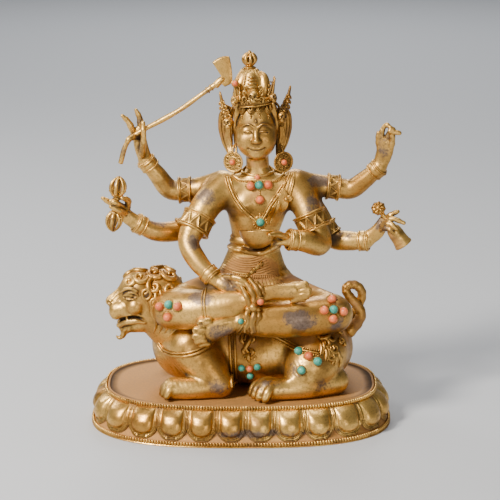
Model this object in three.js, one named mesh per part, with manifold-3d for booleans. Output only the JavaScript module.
// Gilt group of a six-armed jnana dakini seated on a crouching lion, on an oval lotus plinth.
// Millimetres, +Z up, origin at the centre of the plinth's underside, the figure facing -Y.
import * as THREE from 'three';
import { mergeVertices } from 'three/addons/utils/BufferGeometryUtils.js';
import Module from 'manifold-3d';

const wasm = await Module();
wasm.setup();

// Driving dimensions
const PLINTH_LENGTH = 304;
const PLINTH_DEPTH = 202;
const PLINTH_HEIGHT = 36;
const PLINTH_FLARE = 18;
const PLINTH_SQUARENESS = 2.75;
const RIM_HEIGHT = 4.2;
const PETAL_COUNT = 26;
const PETAL_START = 4.5;
const GROUP_HEIGHT = 338;
const FIT_GAP = 0.3;
const SKIN_TOLERANCE = 0.6;
const FINE_TOLERANCE = 0.02;
const STONE_DIAMETER = 8.4;
const STONE_RISE = 3.4;
const SMALL_STONE_DIAMETER = 5.6;
const EARRING_RADIUS = 10.5;
const EARRING_THICKNESS = 3;
const AXE_HANDLE_RADIUS = 2.5;
const AXE_BLADE_THICKNESS = 3.2;
const VAJRA_LENGTH = 58;
const VAJRA_GRIP_RADIUS = 3.2;
const VAJRA_HEAD_RADIUS = 8.2;
const BELL_MOUTH_RADIUS = 9.2;
const BELL_HEIGHT = 22;
const BELL_WALL = 1.5;
const BELL_GRIP_RADIUS = 2.6;
const BELL_GRIP_LENGTH = 24;
const CUP_RADIUS = 18;
const CUP_DEPTH = 17;
const CUP_WALL = 1.8;
const CUP_TILT = 0.2;
const KNIFE_HANDLE_RADIUS = 2.4;

// Poses are written for the group at its drawn height, standing on a plinth of the drawn height
const DRAWN_GROUP = 338;
const DRAWN_PLINTH = 36;
const UNIT = GROUP_HEIGHT / DRAWN_GROUP;

const P = (x, y, z) => new THREE.Vector3(
  x * UNIT, y * UNIT, PLINTH_HEIGHT + (z - DRAWN_PLINTH) * UNIT);
const path = (rows) => rows.map(([x, y, z]) => P(x, y, z));
const unit = (x, y, z) => new THREE.Vector3(x, y, z).normalize();

// Clearance added to every radius while a fitting body is made
let grow = 0;

function fitted(make, clearance = FIT_GAP) {
  grow = clearance;
  const body = make();
  grow = 0;
  return body;
}

// A fitting body for a skin that is eased after it is made
const fittedSkin = (make) => fitted(make, FIT_GAP + SKIN_TOLERANCE);

// Closed geometry as a manifold solid
function solid(geometry) {
  geometry.deleteAttribute('normal');
  geometry.deleteAttribute('uv');
  const merged = mergeVertices(geometry, 1e-4);
  return new wasm.Manifold(new wasm.Mesh({
    numProp: 3,
    vertProperties: new Float32Array(merged.attributes.position.array),
    triVerts: new Uint32Array(merged.index.array),
  }));
}

const join = (bodies) => bodies.reduce((all, body) => all.add(body));

// The largest single body of a cut solid
function largest(body) {
  return body.decompose().reduce((a, b) => (b.volume() > a.volume() ? b : a));
}

// Skin over a stack of rings with equal point counts, closed by a point at each end
function skin(rings, first, last) {
  const count = rings[0].length;
  const points = [first, ...rings.flat(), last];
  const end = points.length - 1;
  const index = [];
  const at = (ring, k) => 1 + ring * count + (k % count);
  for (let k = 0; k < count; k += 1) {
    index.push(0, at(0, k + 1), at(0, k));
    for (let ring = 0; ring < rings.length - 1; ring += 1) {
      index.push(at(ring, k), at(ring, k + 1), at(ring + 1, k + 1));
      index.push(at(ring, k), at(ring + 1, k + 1), at(ring + 1, k));
    }
    index.push(end, at(rings.length - 1, k), at(rings.length - 1, k + 1));
  }
  const geometry = new THREE.BufferGeometry().setFromPoints(points);
  geometry.setIndex(index);
  return solid(geometry);
}

function circle(centre, u, v, a, b, sides) {
  const ring = [];
  for (let k = 0; k < sides; k += 1) {
    const angle = (2 * Math.PI * k) / sides;
    ring.push(centre.clone()
      .addScaledVector(u, a * Math.cos(angle))
      .addScaledVector(v, b * Math.sin(angle)));
  }
  return ring;
}

const mixed = (list, t) => {
  const place = t * (list.length - 1);
  const k = Math.min(Math.floor(place), list.length - 2);
  return THREE.MathUtils.lerp(list[k], list[k + 1], place - k);
};

// Tapering limb with rounded ends along a smooth path; flat is its thickness share along "up"
function limb(points, radii,
  { sides = 8, steps = 1, flat = 1, up = [0, 0, 1], round = true } = {}) {
  const curve = new THREE.CatmullRomCurve3(points, false, 'centripetal');
  const count = (points.length - 1) * steps;
  const rings = [];
  const side = new THREE.Vector3();
  const tangentAt = (t) => curve.getTangent(t);
  side.crossVectors(unit(...up), tangentAt(0));
  if (side.length() < 0.05) side.crossVectors(unit(0, 1, 0.2), tangentAt(0));
  const ringAt = (centre, tangent, radius) => {
    side.addScaledVector(tangent, -side.dot(tangent)).normalize();
    const over = new THREE.Vector3().crossVectors(tangent, side);
    return circle(centre, side, over, radius, radius * flat, sides);
  };
  const sizeAt = (t) => mixed(radii, t) * UNIT + grow;
  const start = curve.getPoint(0);
  const finish = curve.getPoint(1);
  const [r0, r1] = [sizeAt(0) * flat, sizeAt(1) * flat];
  const t0 = tangentAt(0);
  if (round) {
    rings.push(ringAt(start.clone().addScaledVector(t0, -0.6 * r0), t0, 0.75 * sizeAt(0)));
  }
  for (let k = 0; k <= count; k += 1) {
    const t = k / count;
    rings.push(ringAt(curve.getPoint(t), tangentAt(t), sizeAt(t)));
  }
  const t1 = tangentAt(1);
  if (round) {
    rings.push(ringAt(finish.clone().addScaledVector(t1, 0.6 * r1), t1, 0.75 * sizeAt(1)));
  }
  return skin(rings, start.clone().addScaledVector(t0, -r0), finish.clone().addScaledVector(t1, r1));
}

// Body of upright elliptical levels: [x, y, z, half width, half depth]
function levels(rows, sides = 12) {
  const rings = rows.map(([x, y, z, a, b]) => circle(
    P(x, y, z), unit(1, 0, 0), unit(0, 1, 0), a * UNIT + grow, b * UNIT + grow, sides));
  const low = P(...rows[0].slice(0, 3));
  const high = P(...rows[rows.length - 1].slice(0, 3));
  low.z -= grow + UNIT;
  high.z += grow + UNIT;
  return skin(rings, low, high);
}

// Ellipsoid, with its own turn
function blob(centre, radii, { turn = [0, 0, 0], around = 8, over = 6 } = {}) {
  const geometry = new THREE.SphereGeometry(1, around, over);
  geometry.scale(...radii.map((r) => r * UNIT + grow));
  geometry.applyMatrix4(new THREE.Matrix4().makeRotationFromEuler(new THREE.Euler(...turn)));
  geometry.translate(...P(...centre).toArray());
  return solid(geometry);
}

// Turned profile of [radius, height] rows standing at a point along an axis
function turned(rows, foot, axis, segments) {
  const geometry = new THREE.LatheGeometry(
    rows.map(([r, h]) => new THREE.Vector2(r, h)), segments);
  const lift = new THREE.Quaternion().setFromUnitVectors(unit(0, 1, 0), axis.clone().normalize());
  geometry.applyQuaternion(lift);
  geometry.translate(foot.x, foot.y, foot.z);
  const body = solid(geometry);
  return body;
}

// Raised band round a limb: a wedge section closed on itself
function band(centre, axis, radius, width, rise, segments = 8) {
  const r = radius * UNIT + grow;
  const w = (width * UNIT) / 2;
  const top = r + rise * UNIT;
  return turned([[r * 0.6, -w], [top, -w * 0.8], [top, w * 0.8], [r * 0.6, w], [r * 0.6, -w]],
    P(...centre), unit(...axis), segments);
}

// Plinth

const rimHalfLength = PLINTH_LENGTH / 2 - PLINTH_FLARE;
const rimHalfDepth = PLINTH_DEPTH / 2 - PLINTH_FLARE;

// Superellipse |x/a|^n + |y/b|^n = 1 from the middle of the front, walked by equal arc lengths
function rimPlaces(count, offset) {
  const power = 2 / PLINTH_SQUARENESS;
  const fine = 2400;
  const place = (k) => {
    const angle = -Math.PI / 2 + (2 * Math.PI * k) / fine;
    const [c, s] = [Math.cos(angle), Math.sin(angle)];
    return [rimHalfLength * Math.sign(c) * Math.abs(c) ** power,
      rimHalfDepth * Math.sign(s) * Math.abs(s) ** power];
  };
  const lengths = [0];
  for (let k = 1; k <= fine; k += 1) {
    const [[x0, y0], [x1, y1]] = [place(k - 1), place(k)];
    lengths.push(lengths[k - 1] + Math.hypot(x1 - x0, y1 - y0));
  }
  const total = lengths[fine];
  const places = [];
  let k = 0;
  for (let n = 0; n < count; n += 1) {
    const want = (((n / count) * total + offset) % total + total) % total;
    if (n === 0 || want < lengths[k]) k = 0;
    while (lengths[k + 1] < want) k += 1;
    const share = (want - lengths[k]) / (lengths[k + 1] - lengths[k]);
    const [a, b] = [place(k), place(k + 1)];
    const x = THREE.MathUtils.lerp(a[0], b[0], share);
    const y = THREE.MathUtils.lerp(a[1], b[1], share);
    const grade = PLINTH_SQUARENESS - 1;
    const normal = new THREE.Vector2(
      (Math.sign(x) * Math.abs(x / rimHalfLength) ** grade) / rimHalfLength,
      (Math.sign(y) * Math.abs(y / rimHalfDepth) ** grade) / rimHalfDepth).normalize();
    places.push({ x, y, normal });
  }
  return places;
}

// Rows of the plinth's side: [height share, outset of a petal's middle, outset of its seam]
// as shares of the plinth's height and of its flare
const PLINTH_ROWS = [
  [0, 0.94, 0.94], [0.07, 1, 1], [0.16, 0.94, 0.94], [0.2, 0.66, 0.66],
  [0.28, 0.96, 0.5], [0.44, 1.0, 0.62], [0.7, 0.8, 0.56], [0.94, 0.12, 0.08],
];

function plinthBody() {
  const perPetal = 3;
  const places = rimPlaces(PETAL_COUNT * perPetal, PETAL_START);
  const ringOf = (height, middle, seam) => places.map(({ x, y, normal }, n) => {
    const onSeam = n % perPetal === 0;
    const out = (onSeam ? seam : middle) * PLINTH_FLARE;
    return new THREE.Vector3(x + normal.x * out, y + normal.y * out, height);
  });
  const rings = PLINTH_ROWS.map(([h, middle, seam]) => ringOf(h * PLINTH_HEIGHT, middle, seam));
  const rimTop = PLINTH_HEIGHT + RIM_HEIGHT * 0.6;
  rings.push(ringOf(PLINTH_HEIGHT + RIM_HEIGHT * 0.1, 0.14, 0.14));
  rings.push(ringOf(rimTop, 0.02, 0.02));
  rings.push(ringOf(PLINTH_HEIGHT, -0.2, -0.2));
  return skin(rings, new THREE.Vector3(0, 0, 0), new THREE.Vector3(0, 0, PLINTH_HEIGHT));
}

// Lion

const mirrored = ([x, y, z], side) => [x, side * y, z];

function lionTrunk() {
  return join([
    limb(path([[-52, 0, 76], [-18, 0, 72], [30, 0, 70], [76, 0, 70]]), [36, 35, 33, 33],
      { sides: 12, flat: 0.92 }),
    blob([-60, -2, 76], [24, 35, 31], { around: 10, over: 6 }),
    blob([84, 0, 72], [21, 34, 26], { around: 10, over: 6 }),
  ]);
}

function lionLegs() {
  const bodies = [];
  for (const side of [1, -1]) {
    const leg = (rows) => path(rows.map((row) => mirrored(row, side)));
    bodies.push(
      limb(leg([[-50, -30, 82], [-34, -42, 64], [-22, -50, 50]]), [20, 16, 11]),
      limb(leg([[-20, -50, 48], [-48, -56, 47], [-68, -56, 46]]), [11, 9.5, 10.5]),
      limb(leg([[78, -26, 76], [70, -40, 66], [58, -50, 54]]), [27, 24, 15]),
      limb(leg([[96, -38, 47], [62, -54, 44], [24, -62, 45]]), [12, 8.5, 9.5]),
    );
    for (const [x, y] of [[-72, -57], [16, -62]]) {
      for (let toe = -1; toe <= 1; toe += 1) {
        bodies.push(blob([x - 6 + 2 * Math.abs(toe), side * (y + 6.4 * toe), 44],
          [8, 4.2, 7], { around: 6, over: 3 }));
      }
    }
  }
  return join(bodies);
}

const MANE_CENTRE = [-84, -9, 120];

function lionMane() {
  const [cx, cy, cz] = MANE_CENTRE;
  const bodies = [
    limb(path([[-56, -3, 90], [-84, -9, 120]]), [32, 30], { sides: 10 }),
    blob([cx, cy, cz + 1], [27, 32, 32], { around: 10, over: 6 }),
  ];
  const rings = [
    { x: -100, radius: 26, locks: 9, size: 9 },
    { x: -84, radius: 30, locks: 9, size: 11 },
    { x: -68, radius: 29, locks: 7, size: 12 },
  ];
  for (const { x, radius, locks, size } of rings) {
    for (let k = 0; k < locks; k += 1) {
      const angle = THREE.MathUtils.degToRad(-135 + (270 * k) / (locks - 1));
      bodies.push(blob([x, cy + radius * Math.sin(angle), cz - 2 + radius * Math.cos(angle)],
        [size * 1.1, size * 0.85, size * 0.85],
        { turn: [0, 0.5, 0], around: 6, over: 3 }));
    }
  }
  return join(bodies);
}

function lionHead() {
  const bodies = [
    blob([-104, -15, 131], [22, 21, 21], { around: 10, over: 6 }),
    limb(path([[-106, -16, 127], [-120, -18, 122], [-129, -19, 117]]), [15, 13, 8.5],
      { sides: 8, flat: 0.85 }),
    limb(path([[-96, -15, 107], [-110, -17, 104], [-119, -18, 102]]), [11, 7.5, 5.5]),
    limb(path([[-112, -17, 101], [-117, -17, 95], [-119, -17, 90]]), [5.5, 4, 1.8], { sides: 6 }),
    blob([-131, -19, 121], [5, 7, 4.5], { around: 6, over: 4 }),
  ];
  for (const side of [-1, 1]) {
    const y = (reach) => -15 + side * reach;
    bodies.push(
      blob([-118, y(10), 139], [8, 6, 4], { around: 6, over: 4 }),
      blob([-108, y(17), 123], [8, 6, 8], { around: 6, over: 4 }),
      blob([-94, y(22), 138], [5, 6, 8], { around: 6, over: 4, turn: [0, 0.3, 0] }),
    );
    for (let k = 0; k < 2; k += 1) {
      bodies.push(blob([-117 + 11 * k, y(6 + 3 * k), 146 + 3 * k], [7, 6, 5],
        { around: 6, over: 3 }));
    }
  }
  return join(bodies);
}

// The tail rises from the rump, loops over and crosses behind itself
function lionTail() {
  return limb(path([[98, 2, 82], [112, 0, 92], [115, -1, 103], [108, 0, 111], [101, 1, 121],
    [99, 2, 131], [104, 3, 137.5], [112, 4, 138], [118, 5, 131], [118, 6, 123], [114, 7, 114],
    [110, 8, 104], [106, 8, 94]]),
  [7, 5, 4.2, 4, 4, 4, 4, 4, 4, 4, 4, 4, 4], { sides: 6 });
}

function saddle() {
  const rise = 1.6;
  const strip = (rows, radius = 2.2) => limb(path(rows), rows.map(() => radius),
    { sides: 5 });
  return join([
    strip([[-83, -18, 77], [-64, -34, 75], [-42, -37, 80], [-27, -38, 90], [-16, -38, 100]]),
    strip([[-11, -36, 104], [-10, -37.5, 84], [-9, -34, 62], [-8, -26, 48]], rise + 2.4),
    strip([[14, -36, 108], [33, -37, 97], [54, -38, 87], [76, -38, 84]]),
  ]);
}

function lionBody() {
  return join([lionTrunk(), lionLegs(), lionMane(), lionHead(), lionTail(), saddle()]);
}

// Figure

// Palm and fingers: each row is a path with its radii
function hand({ palm, fingers }) {
  const bodies = [limb(path(palm.rows), palm.radii,
    { sides: 8, flat: palm.flat ?? 0.7, up: palm.up, round: false })];
  for (const { rows, radii } of fingers) {
    bodies.push(limb(path(rows), radii, { sides: 4, round: false }));
  }
  return join(bodies);
}

function foot(heel, ball, toes, sole, lift) {
  const forward = P(...toes).sub(P(...ball)).normalize();
  const out = unit(...sole);
  const across = new THREE.Vector3().crossVectors(forward, out).normalize();
  const bodies = [limb(path([heel, ball]), [8, 9.5], { sides: 8, flat: 0.7, up: sole })];
  for (let toe = 0; toe < 5; toe += 1) {
    const a = (toe - 2) * 3.8 * UNIT;
    const reach = (1 - 0.13 * toe) * P(...toes).distanceTo(P(...ball));
    const base = P(...ball).addScaledVector(across, a * lift);
    bodies.push(limb([base, base.clone().addScaledVector(forward, reach)],
      [toe === 0 ? 3.4 : 2.7, toe === 0 ? 3.2 : 2.4], { sides: 4, round: false }));
  }
  return join(bodies);
}

const ARMS = [
  { name: 'front right', radii: [12, 11.5, 10.5, 9.5, 9, 7],
    rows: [[-17, 6, 238], [-33, -6, 222], [-45, -16, 204], [-56, -24, 186], [-43, -34, 170],
      [-28, -43, 157]],
    palm: { rows: [[-28, -43, 157], [-16.4, -48, 152.3], [-6.6, -51, 147]], radii: [7, 9, 7.5],
      up: [0, -0.8, 0.6] },
    fingers: [
      { rows: [[-10, -51, 147], [-2.7, -52, 140.5], [5, -50, 138]], radii: [3.2, 3, 2.4] },
      { rows: [[-5, -54, 151], [2.2, -56, 149.5], [9, -54.5, 147.5]], radii: [3.2, 3, 2.4] },
      { rows: [[-13, -49, 158], [-2, -55, 156.5], [4, -58.5, 153]], radii: [3.4, 2.8, 2] },
    ] },
  { name: 'middle right', radii: [11, 10, 9.5, 8.5, 7.2],
    rows: [[-30, 14, 216], [-48, 10, 198], [-65, 5, 192], [-85.5, -5, 194], [-102, -10, 203]],
    palm: { rows: [[-100, -9, 202], [-111, -13, 210], [-119, -16, 220]], radii: [7.2, 7, 5.5],
      up: [0, -1, 0] },
    fingers: [
      { rows: [[-119, -16, 221], [-129, -16, 225], [-136, -17, 230.5]], radii: [3.4, 3.2, 2] },
      { rows: [[-117, -17, 219], [-118, -27, 224], [-124, -30, 226.4]], radii: [3, 2.6, 2] },
    ] },
  { name: 'upper right', radii: [12, 10.5, 10, 9, 8.2, 7],
    rows: [[-20, 16, 238], [-40, 18, 233], [-57, 20, 230.6], [-72, 19, 232], [-83, 14, 247],
      [-94, 10, 262]],
    palm: { rows: [[-94, 10, 262], [-98.5, 8, 276], [-101, 7, 292]], radii: [6.6, 7, 6.2],
      up: [0, -1, 0] },
    fingers: [
      { rows: [[-105, 6, 291], [-110.2, 3, 303.8], [-116.5, 1, 309.5]], radii: [3.2, 2.8, 1.8] },
      { rows: [[-99, 8, 294], [-99.6, 8, 306], [-103.3, 6, 314.5]], radii: [3.4, 3, 1.8] },
      { rows: [[-97.9, 4, 270], [-95.7, -4.5, 288], [-96, -3, 303]], radii: [3.4, 2.8, 2.2] },
    ] },
  { name: 'upper left', radii: [12, 10.5, 10, 9, 8.2, 7],
    rows: [[56, 16, 238], [75, 18, 236], [93, 20, 233.7], [110, 19, 232], [123, 14, 242],
      [137, 8, 256]],
    palm: { rows: [[137, 8, 256], [141.5, 6, 269], [143, 4, 282]], radii: [6.6, 8.4, 7.4],
      up: [0, -1, 0] },
    fingers: [
      { rows: [[137, 5, 274], [135.5, 4, 283.6], [135.3, 3, 292]], radii: [2.8, 2.4, 1.8] },
      { rows: [[140, 4, 281], [139.1, 2, 293], [142.8, 0, 300.3], [147.6, -3, 298]],
        radii: [2.8, 2.4, 2.2, 2.2] },
      { rows: [[147, 4, 271], [149.3, 0, 284.4], [148.6, -3, 294.5]], radii: [3.2, 2.8, 2.8] },
      { rows: [[146.6, -3.5, 295], [156, -4, 293]], radii: [2.4, 2.2] },
    ] },
  { name: 'middle left', radii: [11, 10, 9.5, 8.5, 7.2],
    rows: [[66, 14, 222], [77, 12, 208], [91, 8, 185], [108, 0, 183], [124, -4, 184]],
    palm: { rows: [[122, -4, 184], [135, -8, 194], [142, -11, 208]], radii: [7.4, 7.2, 4.8],
      up: [0, -1, 0] },
    fingers: [
      { rows: [[142, -12, 209], [150, -16, 214.2], [155, -17, 217]], radii: [3, 2.4, 1.8] },
      { rows: [[142.6, -12, 208], [150, -19, 210], [160.8, -20, 206]], radii: [3, 2.6, 2] },
    ] },
  { name: 'front left', radii: [12, 11.5, 10.5, 9.5, 8.5, 7.4],
    rows: [[52, 6, 238], [62, -2, 224], [69, -10, 208], [78, -16, 185], [63, -30, 190],
      [49, -36, 193]],
    palm: { rows: [[49, -36, 193], [39.3, -38, 193.4], [31.5, -40, 191]], radii: [7.4, 7.6, 5],
      up: [0, -0.4, 1] },
    fingers: [
      { rows: [[33, -42, 188.5], [20.7, -44, 181.8], [9, -45, 182.8], [0.2, -45, 184.8]],
        radii: [3.2, 2.6, 2.2, 1.8] },
      { rows: [[33, -38, 189], [21, -36, 182.6], [10, -35, 183.6], [3, -35, 185.6]],
        radii: [3.2, 2.6, 2.2, 1.8] },
      { rows: [[44, -40, 198], [36, -46, 202.5], [28, -58, 203]], radii: [3.2, 2.8, 2.2] },
    ] },
];

function armBody(arm) {
  return join([limb(path(arm.rows), arm.radii, { sides: 8 }), hand(arm), armlet(arm)]);
}

// The wide armlet above the elbow
function armlet({ rows, radii }) {
  const k = 2;
  const along = rows[k + 1].map((value, axis) => value - rows[k - 1][axis]);
  return band(rows[k], along, radii[k], 9, 2.4);
}

function headBody() {
  return join([
    blob([14.8, 5, 308], [21, 23, 24], { around: 12, over: 8 }),
    blob([16.8, -1, 291], [19.5, 19, 23.5], { around: 12, over: 8 }),
    limb(path([[17, 8, 250], [16.5, 4, 284]]), [11, 9.5]),
  ]);
}

function topknotBody() {
  return join([
    levels([[10, 0, 326, 15, 15], [9.6, 2, 338, 14, 14], [9.5, 3, 350, 13.5, 13.5],
      [9, 4, 355, 9, 9]], 10),
    limb(path([[23, -2, 331], [23, -1, 343], [22, 0, 347]]), [5, 5.5, 4], { sides: 6 }),
  ]);
}

function faceBody() {
  const y = -19.5;
  return join([
    limb(path([[15.6, y - 0.5, 297], [16.1, y - 2.5, 287]]), [1.8, 3], { sides: 6 }),
    blob([16.8, y + 6, 272.5], [6, 5, 5], { around: 6, over: 4 }),
    blob([16.5, y + 2.5, 279.5], [5.5, 3.5, 2.2], { around: 6, over: 4 }),
  ]);
}

function earBody(side) {
  const x = 16 + side * 20;
  return limb(path([[x - 1, 4, 300], [x + side, 2, 286], [x + side, -1, 277]]), [4, 3.4, 2.6],
    { sides: 6 });
}

function torsoBody() {
  return join([
    levels([[13, 10, 116, 44, 30], [13, 11, 128, 48, 34], [12, 11, 146, 42, 30],
      [12.5, 10, 160, 33, 25], [14, 8, 184, 23.5, 17], [15.5, 8, 205, 28, 19],
      [17.5, 8, 226, 34, 20], [18.2, 9, 238, 37, 16.5], [17.6, 9, 247, 26, 14],
      [17.2, 9, 252, 13, 11]]),
    blob([4, -3, 222], [12.5, 11, 11.5], { around: 8, over: 6 }),
    blob([31, -3, 223], [12.5, 11, 11.5], { around: 8, over: 6 }),
  ]);
}

function legsBody() {
  return join([
    limb(path([[0, 6, 136], [-36, -16, 134], [-64, -34, 125]]), [25, 23, 19.5], { sides: 10 }),
    limb(path([[-68, -37, 122], [-40, -50, 124], [5, -56, 136]]), [18.5, 16, 11]),
    limb(path([[32, 6, 136], [62, -14, 129], [88, -34, 120]]), [25, 22, 18.5], { sides: 10 }),
    limb(path([[92, -38, 118], [53, -52, 117], [4, -60, 116]]), [18, 16, 11]),
    foot([12, -57, 141], [44, -52, 147], [62, -49, 144], [0, -0.5, 0.85], -1),
    foot([-6, -62, 115], [-28, -64, 110], [-43, -66, 104], [0.3, 0.4, -0.85], 1),
    limb(path([[9, -50, 150], [11, -60, 143], [13, -66, 131], [10, -66, 119]]),
      [3, 4, 3.4, 5], { sides: 6 }),
  ]);
}

function figureBody() {
  const arms = ARMS.map(armBody);
  const skirtHem = band([13, 10, 172], [0, 0, 1], 26, 7, 4, 12);
  return join([torsoBody(), legsBody(), headBody(), topknotBody(), faceBody(), earBody(-1),
    earBody(1), ...arms, skirtHem]);
}

// Crown

function crownBody() {
  const tilt = unit(-0.12, 0.02, 1);
  const centre = [13, 1, 325];
  const reach = 20.5 * UNIT;
  const bodies = [turned([[reach - 6, -4], [reach, -4.4], [reach + 1.4, 0], [reach, 4],
    [reach - 6, 4], [reach - 6, -4]], P(...centre), tilt, 14)];
  const leaves = [
    { foot: [15.5, -20, 328], tip: [15, -19.5, 351], size: 6.5 },
    { foot: [-3, -13, 326.5], tip: [-8, -11, 344], size: 5 },
    { foot: [28, -13.5, 330], tip: [31.5, -12, 347], size: 5 },
  ];
  for (const { foot: low, tip, size } of leaves) {
    bodies.push(
      limb(path([low, tip]), [size, 1.2], { sides: 6, flat: 0.5, up: [0, -1, 0], round: false }),
      blob([low[0], low[1] - 2, low[2]], [size, 4, size], { around: 6, over: 4 }),
    );
  }
  for (const side of [-1, 1]) {
    const x = (reachX) => 14 + side * reachX;
    const lift = side > 0 ? 6 : 0;
    bodies.push(
        blob([x(27.5), -5, 304 + lift], [5.5, 4.5, 5.5], { around: 6, over: 4 }),
      limb(path([[x(27), -4, 307 + lift], [x(31), -3, 318 + lift], [x(34.5 - lift * 0.6), -2,
        331 + lift * 1.5]]), [5, 3.6, 1.1], { sides: 6 }),
      limb(path([[x(20), 3, 323 + lift], [x(25.5), 2, 308 + lift]]), [3.4, 3.4], { sides: 6 }),
      limb(path([[x(25), 3.5, 316], [x(28.5), 5, 300], [x(28), 6, 284], [x(25), 6, 270]]),
        [5, 7.5, 6, 2.6], { sides: 6, flat: 0.35, up: [0, -1, 0] }),
    );
  }
  return join(bodies);
}

function finialBody() {
  const ball = P(8.6, 4.5, 364.5);
  const r = 6.6 * UNIT;
  const rows = [[0, -8.6 * UNIT], [4 * UNIT, -8.4 * UNIT], [3 * UNIT, -r * 0.9], [r * 0.8, -r * 0.6],
    [r, 0], [r * 0.8, r * 0.6], [r * 0.35, r * 0.95], [0, 9.4 * UNIT]];
  return turned(rows, ball, unit(-0.08, 0, 1), 10);
}

// Earrings: a wheel with a raised rim and six spokes of one casting

function earringBody(side) {
  const centre = side < 0 ? P(-7.4, -9, 265.8) : P(40.5, -9, 265.8);
  const face = unit(side * 0.45, -1, 0);
  const r = EARRING_RADIUS;
  const t = EARRING_THICKNESS / 2;
  return turned([[0, -t], [r * 0.85, -t], [r, 0], [r * 0.85, t], [r * 0.7, t * 0.4],
    [r * 0.3, t * 0.6], [0, t * 0.9]], centre, face, 14);
}

// Attributes

const AXE_HANDLE = [[-119, 0, 262], [-113, 0, 281], [-101, 0, 292.5], [-77.5, 2, 305],
  [-58.5, 2, 316], [-39.5, 0, 330], [-20, 0, 344]];

function axeHandle() {
  const radius = AXE_HANDLE_RADIUS / UNIT;
  return limb(path(AXE_HANDLE), AXE_HANDLE.map(() => radius), { sides: 8 });
}

function axeBody() {
  const outline = new THREE.Shape();
  const plan = (x, z) => [x * UNIT, z * UNIT];
  outline.moveTo(...plan(-24, 345));
  outline.quadraticCurveTo(...plan(-22, 354), ...plan(-28.5, 362.5));
  outline.quadraticCurveTo(...plan(-20, 370), ...plan(-10.8, 369));
  outline.quadraticCurveTo(...plan(-8, 356), ...plan(-8.5, 345));
  outline.lineTo(...plan(-15, 340));
  const blade = new THREE.ExtrudeGeometry(outline, {
    depth: AXE_BLADE_THICKNESS - 1, bevelThickness: 0.5, bevelSize: 0.4, bevelSegments: 1,
    curveSegments: 3,
  });
  blade.rotateX(Math.PI / 2);
  const lift = P(0, 0, 0);
  blade.translate(lift.x, lift.y + AXE_BLADE_THICKNESS / 2 - 0.5, lift.z);
  return join([axeHandle(), solid(blade)]);
}

const VAJRA_CENTRE = [-122.5, -24, 226];
const VAJRA_AXIS = [0.13, 0, 0.99];

function vajraBody() {
  const half = VAJRA_LENGTH / 2;
  const [g, h] = [VAJRA_GRIP_RADIUS + grow, VAJRA_HEAD_RADIUS + grow];
  const side = [[0, half], [1.3, half * 0.97], [h * 0.55, half * 0.86], [h, half * 0.62],
    [h * 0.8, half * 0.4], [g * 1.2, half * 0.28], [g * 1.5, half * 0.22], [g, half * 0.1]];
  const rows = [...side.map(([r, z]) => [r, -z]), [g * 1.25, 0], ...side.slice().reverse()];
  return turned(rows, P(...VAJRA_CENTRE), unit(...VAJRA_AXIS), 8);
}

const BELL_MOUTH = [161.5, -14, 182.5];
const BELL_AXIS = [-0.57, 0, 0.82];

function bellGrip() {
  const foot = P(...BELL_MOUTH);
  const [h, g] = [BELL_HEIGHT, BELL_GRIP_RADIUS + grow];
  return turned([[0, h - 2], [g * 1.3, h - 2], [g, h + 3], [g * 1.35, h + BELL_GRIP_LENGTH * 0.5],
    [g, h + BELL_GRIP_LENGTH * 0.62], [g * 1.8, h + BELL_GRIP_LENGTH * 0.82],
    [g * 0.8, h + BELL_GRIP_LENGTH * 0.95], [0, h + BELL_GRIP_LENGTH]], foot, unit(...BELL_AXIS), 8);
}

function bellBody() {
  const [r, h, w] = [BELL_MOUTH_RADIUS, BELL_HEIGHT, BELL_WALL];
  const shell = turned([[r - w, 0], [r, 0], [r * 0.86, h * 0.25], [r * 0.78, h * 0.55],
    [r * 0.7, h * 0.86], [0, h], [0, h - w * 1.4], [r * 0.7 - w, h * 0.86 - w],
    [r * 0.78 - w, h * 0.55], [r * 0.86 - w, h * 0.25], [r - w, 0]],
  P(...BELL_MOUTH), unit(...BELL_AXIS), 12);
  return join([shell, bellGrip()]);
}

const CUP_RIM = [16.4, -42, 203];

function cupOutside() {
  const [r, d] = [CUP_RADIUS + grow, CUP_DEPTH + grow];
  return turned([[0, -d], [r * 0.45, -d * 0.95], [r * 0.8, -d * 0.65], [r * 0.97, -d * 0.25],
    [r, 0], [0, 0]], P(...CUP_RIM), unit(0, CUP_TILT, 1), 14);
}

function cupBody() {
  const [r, d, w] = [CUP_RADIUS, CUP_DEPTH, CUP_WALL];
  const outer = [[0, -d], [r * 0.45, -d * 0.95], [r * 0.8, -d * 0.65], [r * 0.97, -d * 0.25],
    [r, 0]];
  const inner = [[r - w, 0], [r * 0.97 - w, -d * 0.25], [r * 0.8 - w, -d * 0.65 + w * 0.6],
    [r * 0.45 - w * 0.6, -d * 0.95 + w], [0, -d + w]];
  return turned([...outer, ...inner], P(...CUP_RIM), unit(0, CUP_TILT, 1), 14);
}

function knifeHandle() {
  const radius = KNIFE_HANDLE_RADIUS / UNIT;
  return limb(path([[21.5, -36, 169.5], [11, -45, 162.5], [1.2, -52, 156.4]]), [radius, radius, radius],
    { sides: 8 });
}

// Set stones: [node, x, y, z, diameter]; each lies where a line of sight from the front,
// 14 degrees above the level, meets its setting

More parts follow.
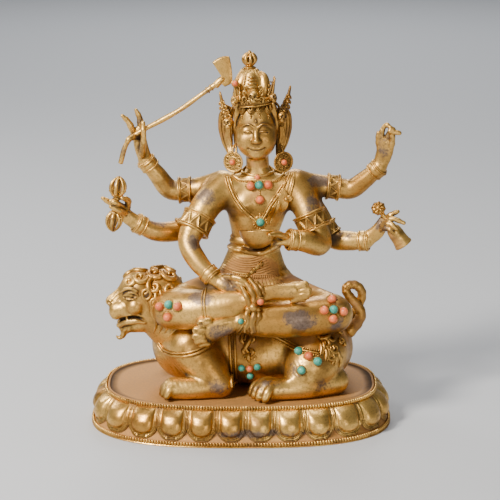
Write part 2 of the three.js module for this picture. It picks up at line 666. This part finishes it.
const [BIG, SMALL] = [STONE_DIAMETER, SMALL_STONE_DIAMETER];
const STONES = {
  figure: [
    ['coral_collar', 16.4, -10, 249.7, SMALL], ['coral_chest_right', 10, -12, 241.6, BIG],
    ['turquoise_chest', 18, -12, 242.6, BIG], ['coral_chest_left', 27, -12, 242.6, BIG],
    ['coral_breast', 18.9, -15, 228.1, BIG], ['turquoise_pendant', 19.4, -14, 205.6, BIG],
    ['coral_knee_right_outer', -79, -48, 128.4, BIG],
    ['turquoise_knee_right', -70.3, -50, 131, BIG],
    ['coral_knee_right_inner', -61.3, -54, 130.1, BIG],
    ['coral_knee_right_lower', -71.4, -52, 119.5, BIG],
    ['coral_knee_left_top', 89.5, -46, 135, BIG],
    ['coral_knee_left_inner', 81.4, -54, 126.4, BIG],
    ['turquoise_knee_left', 90.6, -51, 126.2, BIG],
    ['coral_knee_left_outer', 100, -47, 123, BIG],
    ['coral_knee_left_lower', 90.2, -53, 117.3, BIG],
    ['coral_lap', 19.2, -66, 137.5, SMALL], ['turquoise_anklet', 0.3, -70, 119.5, SMALL],
  ],
  lion: [
    ['turquoise_girth_right', 0.6, -46, 64.3, SMALL], ['coral_girth', 8.6, -46, 63.6, SMALL],
    ['turquoise_girth_left', 16.2, -46, 65.4, SMALL],
    ['turquoise_girth_low', 9.2, -44, 55.6, SMALL],
    ['turquoise_rump_upper', 57.5, -60, 86, BIG], ['coral_rump', 66.6, -60, 81.4, BIG],
    ['turquoise_rump_lower', 75.4, -60, 76, BIG], ['turquoise_rump_low', 59.6, -60, 67, BIG],
  ],
  crown: [['coral_crown', -5.5, -16, 344, SMALL]],
  earring_right: [['coral_earring_right', -8.6, -14, 265.8, SMALL]],
  earring_left: [['coral_earring_left', 43, -14, 265.8, SMALL]],
};

const SIGHT = unit(0, Math.cos(THREE.MathUtils.degToRad(14)),
  -Math.sin(THREE.MathUtils.degToRad(14)));

function meshOf(body) {
  const { vertProperties, triVerts } = body.getMesh();
  const geometry = new THREE.BufferGeometry();
  geometry.setAttribute('position', new THREE.BufferAttribute(vertProperties, 3));
  geometry.setIndex(new THREE.BufferAttribute(triVerts, 1));
  return new THREE.Mesh(geometry);
}

// Where the line of sight meets the setting's skin, and the way the skin faces there
function seatOn(target, place) {
  const from = place.clone().addScaledVector(SIGHT, -150 * UNIT);
  const [hit] = new THREE.Raycaster(from, SIGHT).intersectObject(target);
  if (!hit) return { point: place, out: SIGHT.clone().negate() };
  const out = hit.face.normal.clone().addScaledVector(SIGHT, -0.9).normalize();
  return { point: hit.point, out };
}

function cabochon({ point, out }, diameter, clearance = 0) {
  const geometry = new THREE.SphereGeometry(1, 6, 4);
  const [r, h] = [diameter / 2 + clearance, (STONE_RISE * diameter) / STONE_DIAMETER + clearance];
  geometry.scale(r, h, r);
  geometry.applyQuaternion(new THREE.Quaternion().setFromUnitVectors(unit(0, 1, 0), out));
  geometry.translate(point.x, point.y, point.z);
  return solid(geometry);
}

// Gives each stone of a setting its socket, and returns both
function setStones(body, stones) {
  const target = meshOf(body);
  const made = [];
  const rooms = [];
  let setting = body;
  for (const [name, x, y, z, diameter] of stones) {
    const seat = seatOn(target, P(x, y, z));
    rooms.push(cabochon(seat, diameter, FIT_GAP));
    setting = setting.subtract(rooms[rooms.length - 1]);
    made.push([name, cabochon(seat, diameter - 0.02)]);
  }
  return { setting, made, rooms };
}

// Materials

const gilt = (colour, roughness) => new THREE.MeshStandardMaterial(
  { color: colour, roughness, metalness: 1 });
const GILT = gilt(0xc8a15c, 0.38);
const GILT_WORN = gilt(0xb79255, 0.46);
const CORAL = new THREE.MeshStandardMaterial({ color: 0xe88468, roughness: 0.4, metalness: 0 });
const TURQUOISE = new THREE.MeshStandardMaterial(
  { color: 0x3fa79b, roughness: 0.45, metalness: 0 });

function named(name, body, material) {
  const mesh = meshOf(largest(body.simplify(FINE_TOLERANCE)));
  mesh.name = name;
  mesh.material = material.clone();
  return mesh;
}

// Assembly: each piece is cleared by its neighbours with the fitting gap

const plinth = plinthBody();
const floor = [new THREE.Vector3(0, 0, 1), PLINTH_HEIGHT + FIT_GAP];
// Leaves out facets finer than the skin's tolerance
const eased = (body, tolerance = SKIN_TOLERANCE) => body.asOriginal().simplify(tolerance);
const clear = (body, others) => others.reduce((rest, other) => rest.subtract(other), body);
const settings = {
  lion: eased(lionBody()).trimByPlane(floor[0].toArray(), floor[1]),
  figure: eased(figureBody()),
  crown: eased(crownBody()),
  earring_right: earringBody(-1),
  earring_left: earringBody(1),
};
settings.figure = clear(settings.figure, [
  fittedSkin(lionBody), fitted(axeHandle), fitted(vajraBody), fitted(bellGrip), fitted(cupOutside),
  fitted(knifeHandle)]);
settings.crown = clear(settings.crown, [fittedSkin(headBody), fittedSkin(topknotBody),
  fittedSkin(() => earBody(-1)), fittedSkin(() => earBody(1))]);
for (const side of ['earring_right', 'earring_left']) {
  settings[side] = clear(settings[side], [fittedSkin(headBody), fittedSkin(torsoBody),
    fittedSkin(() => earBody(side === 'earring_right' ? -1 : 1))]);
}

const group = new THREE.Group();
group.add(named('plinth', plinth, GILT_WORN));
for (const name of ['figure', 'lion', 'crown', 'earring_right', 'earring_left']) {
  const { setting, made, rooms } = setStones(settings[name], STONES[name]);
  if (name === 'figure') settings.lion = clear(settings.lion, rooms);
  group.add(named(name, setting, GILT));
  for (const [stone, shape] of made) {
    group.add(named(stone, shape, stone.startsWith('coral') ? CORAL : TURQUOISE));
  }
}
group.add(named('topknot_finial', clear(finialBody(), [fittedSkin(topknotBody)]), GILT));
group.add(named('axe', axeBody(), GILT));
group.add(named('vajra', vajraBody(), GILT));
group.add(named('bell', bellBody(), GILT));
group.add(named('skull_cup', cupBody(), GILT));
group.add(named('knife_handle', knifeHandle(), GILT_WORN));

export default group;
